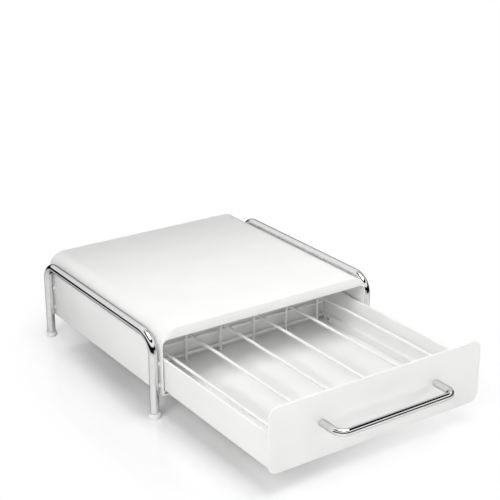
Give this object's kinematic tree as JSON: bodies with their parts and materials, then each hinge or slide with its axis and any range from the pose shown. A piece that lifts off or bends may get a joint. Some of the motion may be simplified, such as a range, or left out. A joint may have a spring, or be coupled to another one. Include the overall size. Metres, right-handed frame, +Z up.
{
  "type": "coffee pod drawer",
  "caption": "Low sheet-metal case with bent tube legs and a sliding drawer whose wire rack keeps coffee pods in rows; its flat top carries a coffee machine.",
  "frame": {"origin": "on the floor under the middle of the whole object with its drawer pulled out, feet on Z = 0", "axes": "+X to the right as seen from behind the case, +Y from the handle to the back panel, +Z up"},
  "size_m": [0.363, 0.5964, 0.124],
  "materials": {
    "shell_enamel": "white powder coat, satin",
    "drawer_enamel": "white powder coat, satin",
    "front_enamel": "white powder coat, satin",
    "runner_enamel": "white powder coat, satin",
    "rack_coating": "thick white polymer coating over steel wire, satin",
    "tube_chrome": "bright chrome plate, polished",
    "handle_chrome": "bright chrome plate, polished",
    "zinc_plate": "bright zinc plate",
    "nylon": "natural white nylon, moulded",
    "clear_plastic": "frosted translucent soft plastic, moulded",
    "bumper_plastic": "soft clear bumper dot"
  },
  "bodies": {
    "cabinet": {"top_shell": "shell_enamel", "back_panel": "shell_enamel", "back_screws": "zinc_plate", "runner_left": "runner_enamel", "runner_right": "runner_enamel", "slip_pad_left": "nylon", "slip_pad_right": "nylon", "stop_block_left": "nylon", "stop_block_right": "nylon", "tube_frame_left": "tube_chrome", "tube_frame_right": "tube_chrome", "spacers_left": "clear_plastic", "spacers_right": "clear_plastic", "frame_screws_left": "zinc_plate", "frame_screws_right": "zinc_plate", "foot_front_left": "clear_plastic", "foot_front_right": "clear_plastic", "foot_rear_left": "clear_plastic", "foot_rear_right": "clear_plastic"},
    "drawer": {"drawer_tub": "drawer_enamel", "drawer_inner_front": "drawer_enamel", "drawer_back": "drawer_enamel", "drawer_front": "front_enamel", "front_screws": "zinc_plate", "handle": "handle_chrome", "handle_screws": "zinc_plate", "bumpers": "bumper_plastic", "pod_rack": "rack_coating", "rear_guide_left": "nylon", "rear_guide_right": "nylon", "guide_screws": "zinc_plate"}
  },
  "joints": [
    {"name": "drawer_slide", "type": "slide", "parent": "cabinet", "child": "drawer", "axis": [0, 1, 0], "range_m": [0, 0.2272]}
  ]
}
